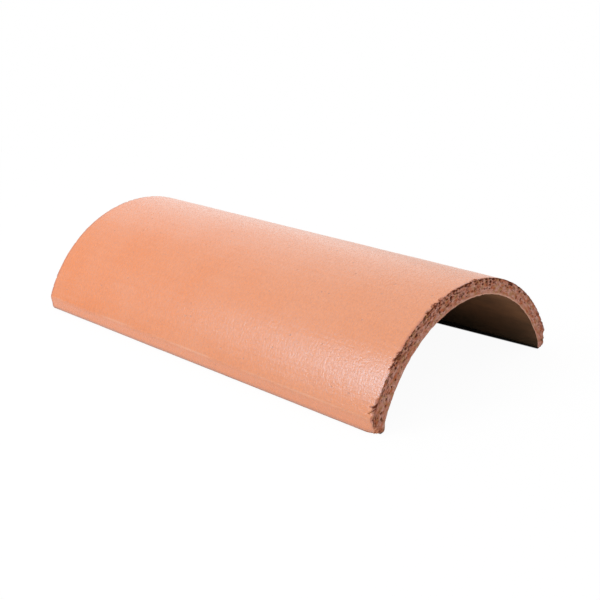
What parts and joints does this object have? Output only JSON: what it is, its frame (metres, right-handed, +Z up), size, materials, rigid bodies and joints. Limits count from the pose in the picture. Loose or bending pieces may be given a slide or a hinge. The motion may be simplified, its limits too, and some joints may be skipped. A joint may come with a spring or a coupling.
{
  "type": "barrel clay roof tile",
  "caption": "Half-round barrel roof tile of fired clay: an open arch on long flat feet with a raised arris along each side, laid to shed rain and to cover a ridge or a joint between channels.",
  "frame": {"origin": "on the floor under the middle of the tile, at the centre of its bounding box's base", "axes": "+X along the tile, +Y across it from foot to foot, +Z up through the crown"},
  "size_m": [0.4, 0.215, 0.084],
  "materials": {
    "fired_clay": "matte"
  },
  "bodies": {
    "root": {"barrel_tile": "fired_clay"}
  },
  "joints": []
}
